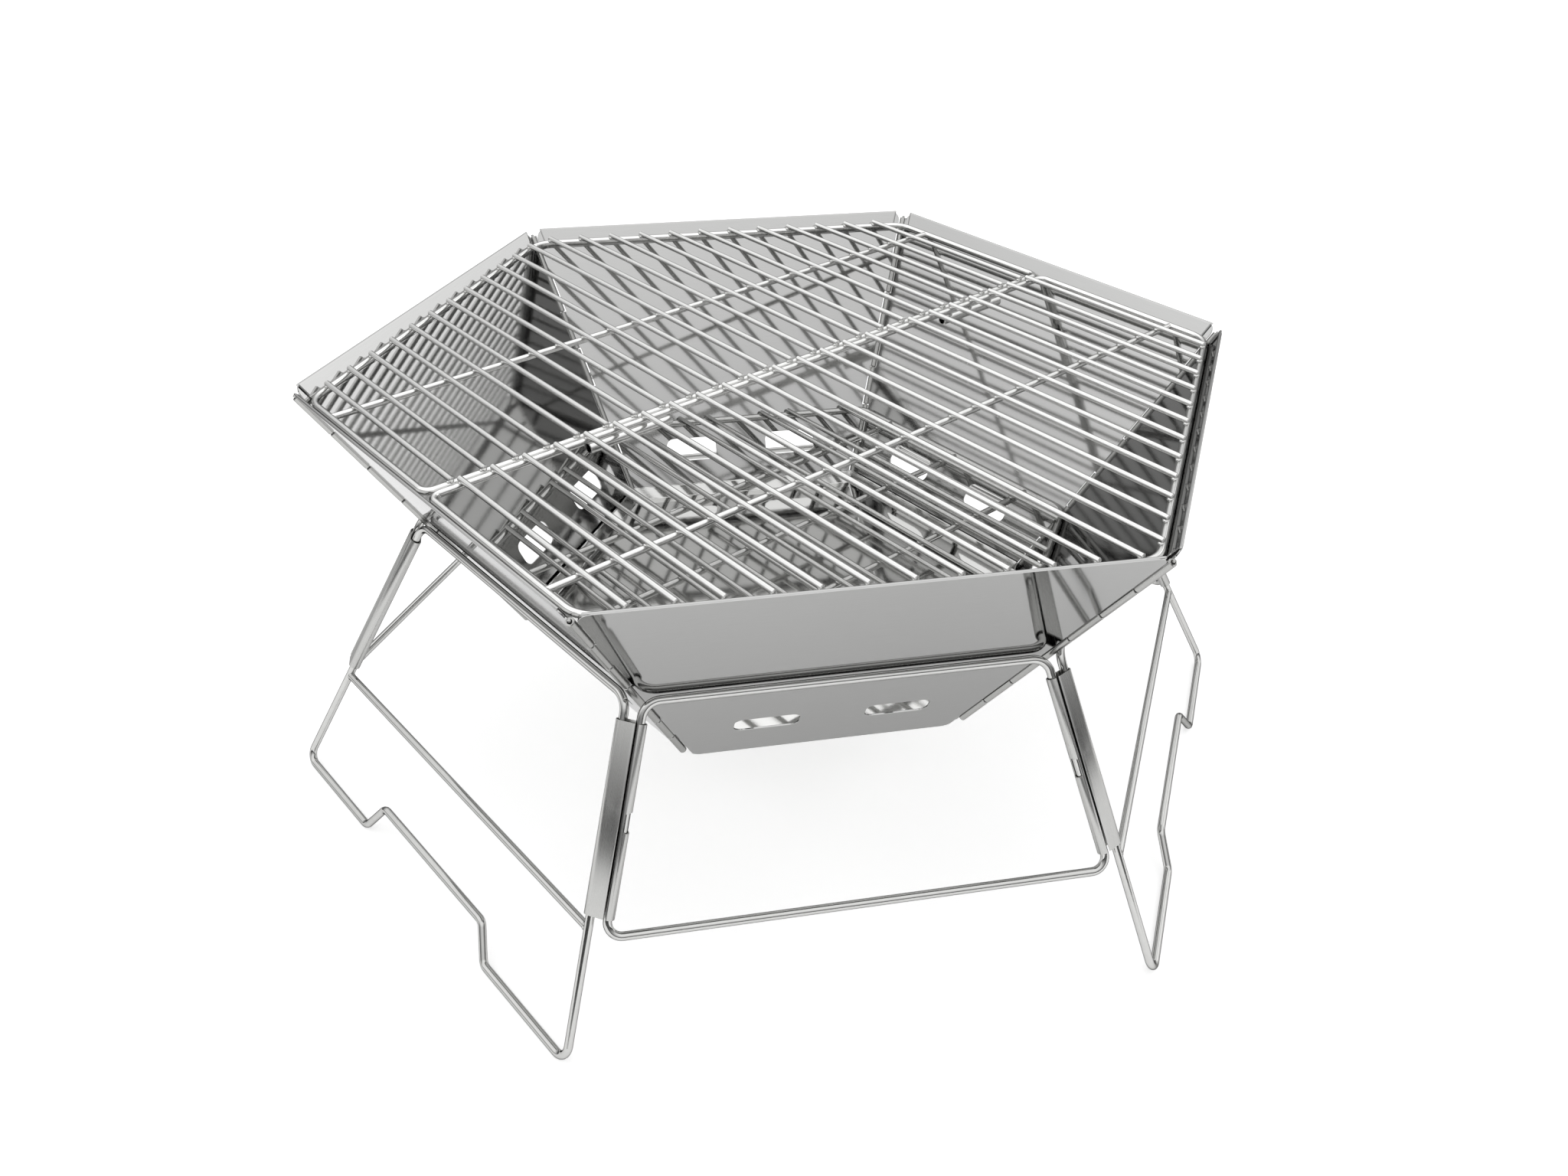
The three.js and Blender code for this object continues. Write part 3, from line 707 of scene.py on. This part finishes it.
def sleeve_section(spacing):
    """The middle line of the rolled sheet, from its strip edge round both rods to its free edge."""
    radius = ROD_RADIUS + SLEEVE_CLEARANCE + SLEEVE_SHEET / 2
    strip = spacing * SLEEVE_STRIP_SHARE
    points = [
        (strip, radius - SLEEVE_STRIP_CURL),
        (strip - 0.2, radius - SLEEVE_STRIP_CURL / 3),
        (strip - 0.6, radius - SLEEVE_STRIP_CURL / 16),
        (strip - 1.1, radius),
        (strip / 2, radius),
        (1.0, radius),
    ]
    points += arc(0, radius, 90, 270, 18)
    points += [(1.0, -radius), (spacing / 2, -radius), (spacing - 1.0, -radius)]
    return points + arc(spacing, radius, -90, SLEEVE_ROLL_END, 20)


def open_sleeve_section():
    radius = ROD_RADIUS + SLEEVE_CLEARANCE + SLEEVE_SHEET / 2
    return arc(0, radius, OPEN_SLEEVE_LIP, 360 - OPEN_SLEEVE_LIP, 36)


def rolled_sheet(name, section, length, notch):
    """A sheet of the sleeve's thickness that follows a section, with its notch cut out."""
    stations = [[(x, y, height) for x, y in section] for height in (0, length)]
    mesh, _ = ring_of(stations, False)
    piece = mesh_object(name, mesh)
    thicken = piece.modifiers.new("thickness", "SOLIDIFY")
    thicken.thickness = SLEEVE_SHEET * MM
    thicken.offset = 0
    thicken.use_even_offset = True
    if notch:
        cut = piece.modifiers.new("notch", "BOOLEAN")
        cut.object = notch
        cut.solver = "EXACT"
    soften = piece.modifiers.new("edges", "BEVEL")
    soften.width = SLEEVE_EDGE_ROUND * MM
    soften.segments = 2
    soften.limit_method = "ANGLE"
    soften.angle_limit = math.radians(WIRE_CREASE)
    mesh = baked_mesh(piece)
    if notch:
        bpy.data.objects.remove(notch)
    return smoothed(mesh, FOLD_CREASE)


def notch_cutter(spacing, length):
    """A block with slanted ends, in the side of the roll half way along."""
    outer = ROD_RADIUS + SLEEVE_CLEARANCE + SLEEVE_SHEET
    far = spacing + outer + SLEEVE_NOTCH_DEPTH
    near = spacing + outer - SLEEVE_NOTCH_DEPTH
    wide = SLEEVE_NOTCH_LENGTH / 2 + SLEEVE_NOTCH_CHAMFER
    narrow = SLEEVE_NOTCH_LENGTH / 2
    outline = [
        (near, length / 2 - narrow),
        (near, length / 2 + narrow),
        (far, length / 2 + wide),
        (far, length / 2 - wide),
    ]
    stations = [[(x, y, z) for x, z in outline] for y in (-outer, outer)]
    mesh, rows = ring_of(stations, True)
    mesh.faces.new(rows[0])
    mesh.faces.new(rows[1])
    return mesh_object("notch_cutter", mesh)


def make_sleeves():
    length = SLEEVE_HIGH - SLEEVE_LOW
    for name, (angle, tall_side, short_side) in CORNERS.items():
        low, along = side_rod(tall_side, angle)
        gap = side_rod(short_side, angle)[0] - low
        across = gap - along * gap.dot(along)
        spacing = across.length / MM
        across.normalize()
        out = along.cross(across)
        starts_low = out.dot(outward(angle)) > 0
        if not starts_low:
            out = -out
        start = low + along * (SLEEVE_LOW if starts_low else SLEEVE_HIGH) * MM
        basis = Matrix((across, out, across.cross(out))).transposed().to_4x4()
        is_open = name == OPEN_CORNER
        section = open_sleeve_section() if is_open else sleeve_section(spacing)
        notch = None if is_open else notch_cutter(spacing, length)
        mesh = rolled_sheet(f"rolled_{name}", section, length, notch)
        piece = new_object(f"rolled_sleeve_{name}", mesh, Matrix.Translation(start) @ basis)
        dressed(piece, SLEEVE_STEEL, FRAME_BODIES[tall_side], "satin_sheet", f"sleeve_{name}")


# ---------------------------------------------------------------- nets, grate and plate
def bead_around(wire_radius, edge_radius, shares):
    along, across, up = shares
    return wire_radius * along, edge_radius * across, wire_radius * up


def half_net(name, body, turned, with_sockets):
    side_end = hexagon_edge(NET_REACH, NET_REACH)
    corners = [
        Vector((-NET_REACH, NET_SPLIT_HALF_GAP)),
        Vector((NET_REACH, NET_SPLIT_HALF_GAP)),
        Vector((NET_REACH, side_end)),
        Vector((0, hexagon_edge(NET_REACH, 0))),
        Vector((-NET_REACH, side_end)),
    ]
    radii = [NET_SPLIT_BEND, NET_SPLIT_BEND] + [NET_CORNER_BEND] * 3
    edge_paths = [(rounded_outline(corners, radii, NET_BEND_STEPS), NET_EDGE_RADIUS, True)]
    wire_paths = []
    height = NET_EDGE_RADIUS + NET_WIRE_RADIUS - WELD_DEPTH
    beads = []
    bead_size = bead_around(NET_WIRE_RADIUS, NET_EDGE_RADIUS, NET_BEAD)
    for i in range(NET_WIRES):
        x = (i - (NET_WIRES - 1) / 2) * NET_PITCH - NET_WIRE_SHIFT
        end = hexagon_edge(NET_REACH, x)
        wire_paths.append(wire_path(
            (x, NET_SPLIT_HALF_GAP - NET_EDGE_RADIUS, height),
            (x, end + WIRE_OVERHANG, height),
            NET_WIRE_RADIUS,
        ))
        for y in (NET_SPLIT_HALF_GAP, NET_CROSS_BAR, end - 0.6):
            beads.append(((x, y, NET_EDGE_RADIUS * BEAD_LEVEL), bead_size))
    edge_paths.append(wire_path(
        (-NET_REACH, NET_CROSS_BAR, 0),
        (NET_REACH, NET_CROSS_BAR, 0),
        NET_EDGE_RADIUS * CROSS_BAR_SHARE,
    ))
    turn = NET_TURN + (180 if turned else 0)
    level = Matrix.Translation((0, 0, NET_HEIGHT * MM))
    matrix = level @ Matrix.Rotation(math.radians(turn), 4, "Z")
    edge = tubes(f"{name}_edge", edge_paths, matrix)
    dressed(edge, NET_EDGE_STEEL, body, "net_wire", name)
    wires = tubes(f"{name}_wires", wire_paths, matrix)
    with_beads(wires, beads)
    dressed(wires, NET_STEEL, body, "net_wire")
    if with_sockets:
        mesh = bmesh.new()
        distance = NET_EDGE_RADIUS + SOCKET_OUTER_RADIUS - SOCKET_WELD_DEPTH
        below = -math.sqrt(distance ** 2 - SOCKET_INSET ** 2)
        behind = NET_SPLIT_HALF_GAP + SOCKET_INSET
        for place in SOCKET_PLACES:
            start = Vector((-place - SOCKET_LENGTH / 2, behind, below))
            end = Vector((-place + SOCKET_LENGTH / 2, behind, below))
            barrel(mesh, start, end, SOCKET_OUTER_RADIUS, SOCKET_INNER_RADIUS, 32)
        sockets = mesh_object("handle_sockets", mesh, matrix, BARREL_CREASE)
        dressed(sockets, NET_EDGE_STEEL, body, "net_wire")


def charcoal_grate():
    corner = hexagon_edge(GRATE_REACH, 0)
    corners = [(outward(30 + i * 60) * corner).to_2d() for i in range(6)]
    loop = rounded_outline(corners, [GRATE_CORNER_BEND] * 6, NET_BEND_STEPS)
    paths = [(loop, GRATE_EDGE_RADIUS, True)]
    height = GRATE_EDGE_RADIUS + GRATE_WIRE_RADIUS - WELD_DEPTH
    beads = []
    bead_size = bead_around(GRATE_WIRE_RADIUS, GRATE_EDGE_RADIUS, GRATE_BEAD)
    for i in range(GRATE_WIRES):
        x = (i - (GRATE_WIRES - 1) / 2) * GRATE_PITCH
        reach = hexagon_edge(GRATE_REACH, x) + WIRE_OVERHANG
        paths.append(wire_path((x, -reach, height), (x, reach, height), GRATE_WIRE_RADIUS))
        for y in GRATE_CROSS_BARS:
            beads.append(((x, y, GRATE_EDGE_RADIUS * BEAD_LEVEL), bead_size))
    for y in GRATE_CROSS_BARS:
        start, end = (-GRATE_REACH, y, 0), (GRATE_REACH, y, 0)
        paths.append(wire_path(start, end, GRATE_EDGE_RADIUS * CROSS_BAR_SHARE))
    level = Matrix.Translation((0, 0, GRATE_HEIGHT * MM))
    matrix = level @ Matrix.Rotation(math.radians(NET_TURN), 4, "Z")
    piece = tubes("charcoal_grate_wires", paths, matrix)
    with_beads(piece, beads)
    dressed(piece, GRATE_STEEL, "charcoal_grate", "grate_wire", "charcoal_grate")


def bowl_corner_at(height):
    return FOOT_CORNER + (RIM_CORNER - FOOT_CORNER) * (height - FOOT_HEIGHT) / PANEL_RISE


def ash_plate():
    low = bowl_corner_at(PLATE_HEIGHT) - PLATE_CLEARANCE / COS_30
    high = bowl_corner_at(PLATE_HEIGHT + PLATE_LIP) - PLATE_CLEARANCE / COS_30
    wall = PLATE_SHEET / COS_30
    profile = [
        (low, 0),
        (high, PLATE_LIP),
        (high - wall, PLATE_LIP),
        (low - wall, PLATE_SHEET),
    ]
    stations = [
        [outward(60 * i) * radius + Vector((0, 0, height)) for i in range(6)]
        for radius, height in profile
    ]
    mesh, rows = ring_of(stations, True)
    mesh.faces.new(rows[0])
    mesh.faces.new(rows[-1])
    bmesh.ops.recalc_face_normals(mesh, faces=mesh.faces)
    edge_round = PLATE_EDGE_ROUND * MM
    bmesh.ops.bevel(mesh, geom=list(mesh.edges), offset=edge_round, segments=3, affect="EDGES")
    plate = mesh_object("ash_plate_tray", mesh, Matrix.Translation((0, 0, PLATE_HEIGHT * MM)), PLATE_CREASE)
    dressed(plate, PLATE_STEEL, "ash_plate", "polished_sheet", "ash_plate")


# ---------------------------------------------------------------- studio
FLOOR_HALF_SIZE = 4.5  # metres
FLOOR_DROP = 0.0006  # metres, clear of the foot rods


def make_floor():
    mesh = bmesh.new()
    bmesh.ops.create_grid(mesh, x_segments=2, y_segments=2, size=FLOOR_HALF_SIZE)
    floor = mesh_object("studio_floor", mesh, Matrix.Translation((0, 0, -FLOOR_DROP)))
    material = bpy.data.materials.new("pale_floor")
    material.use_nodes = True
    shader = material.node_tree.nodes["Principled BSDF"]
    shader.inputs["Base Color"].default_value = (0.8, 0.8, 0.8, 1)
    shader.inputs["Roughness"].default_value = 0.8
    shader.inputs["Specular IOR Level"].default_value = 0.1
    shader.inputs["Emission Color"].default_value = (1, 1, 1, 1)
    shader.inputs["Emission Strength"].default_value = 0.46
    floor.data.materials.append(material)


def patch(nodes, links, direction, facing, inner, outer, strength):
    """A soft round patch of light in the surround; inner and outer are in degrees."""
    dot = nodes.new("ShaderNodeVectorMath")
    dot.operation = "DOT_PRODUCT"
    links.new(direction, dot.inputs[0])
    dot.inputs[1].default_value = Vector(facing).normalized()
    fade = nodes.new("ShaderNodeMapRange")
    fade.interpolation_type = "SMOOTHSTEP"
    links.new(dot.outputs["Value"], fade.inputs["Value"])
    fade.inputs["From Min"].default_value = math.cos(math.radians(outer))
    fade.inputs["From Max"].default_value = math.cos(math.radians(inner))
    fade.inputs["To Max"].default_value = strength
    return fade.outputs["Result"]


SURROUND_LEVELS = (
    (0.0, 0.04),
    (0.03, 0.04),
    (0.14, 0.10),
    (0.28, 0.30),
    (0.46, 0.60),
    (0.66, 1.05),
    (0.88, 1.25),
)
# direction, inner and outer spread in degrees, brightness
SURROUND_PATCHES = (
    ((0.10, -0.85, 0.60), 14, 40, 0.12),
    ((-0.90, 0.15, 0.42), 12, 30, 0.50),
    ((0.88, 0.37, 0.26), 12, 24, 1.10),
    ((0.10, 0.85, 0.62), 12, 36, 0.30),
)


def make_studio():
    make_floor()
    world = bpy.data.worlds.new("studio_surround")
    bpy.context.scene.world = world
    world.use_nodes = True
    nodes, links = world.node_tree.nodes, world.node_tree.links
    place = nodes.new("ShaderNodeTexCoord")
    direction = place.outputs["Generated"]
    parts = nodes.new("ShaderNodeSeparateXYZ")
    links.new(direction, parts.inputs["Vector"])
    by_height = nodes.new("ShaderNodeValToRGB")
    links.new(parts.outputs["Z"], by_height.inputs["Fac"])
    ramp = by_height.color_ramp
    ramp.elements.remove(ramp.elements[1])
    for i, (position, value) in enumerate(SURROUND_LEVELS):
        element = ramp.elements[0] if i == 0 else ramp.elements.new(position)
        element.position = position
        element.color = (value, value, value, 1)
    total = by_height.outputs["Color"]
    for facing, inner, outer, strength in SURROUND_PATCHES:
        light = patch(nodes, links, direction, facing, inner, outer, strength)
        total = math_node(nodes, links, "ADD", total, light)
    links.new(total, nodes["Background"].inputs["Color"])
    nodes["Background"].inputs["Strength"].default_value = 1.0
    scene = bpy.context.scene
    scene.view_settings.view_transform = "Standard"
    scene.view_settings.look = "None"
    scene.view_settings.exposure = 0.0


def make_camera():
    azimuth, elevation, roll = math.radians(-11.33), math.radians(34.55), math.radians(0.96)
    target = Vector((0, -13.1, 92.0)) * MM
    distance = 722 * MM
    focal_pixels, image_width = 1715, 2048
    data = bpy.data.cameras.new("camera")
    data.sensor_width = 36
    data.lens = focal_pixels / image_width * data.sensor_width
    data.clip_start = 0.01
    camera = bpy.data.objects.new("camera", data)
    bpy.context.scene.collection.objects.link(camera)
    back = Vector((
        math.sin(azimuth) * math.cos(elevation),
        -math.cos(azimuth) * math.cos(elevation),
        math.sin(elevation),
    ))
    aim = (-back).to_track_quat("-Z", "Y").to_matrix().to_4x4()
    camera.matrix_world = (
        Matrix.Translation(target + back * distance) @ aim @ Matrix.Rotation(roll, 4, "Z")
    )
    bpy.context.scene.camera = camera


make_bowl()
make_frames()
make_sleeves()
half_net("cooking_net_back", "net_back", False, False)
half_net("cooking_net_front", "net_front", True, True)
charcoal_grate()
ash_plate()
make_studio()
make_camera()
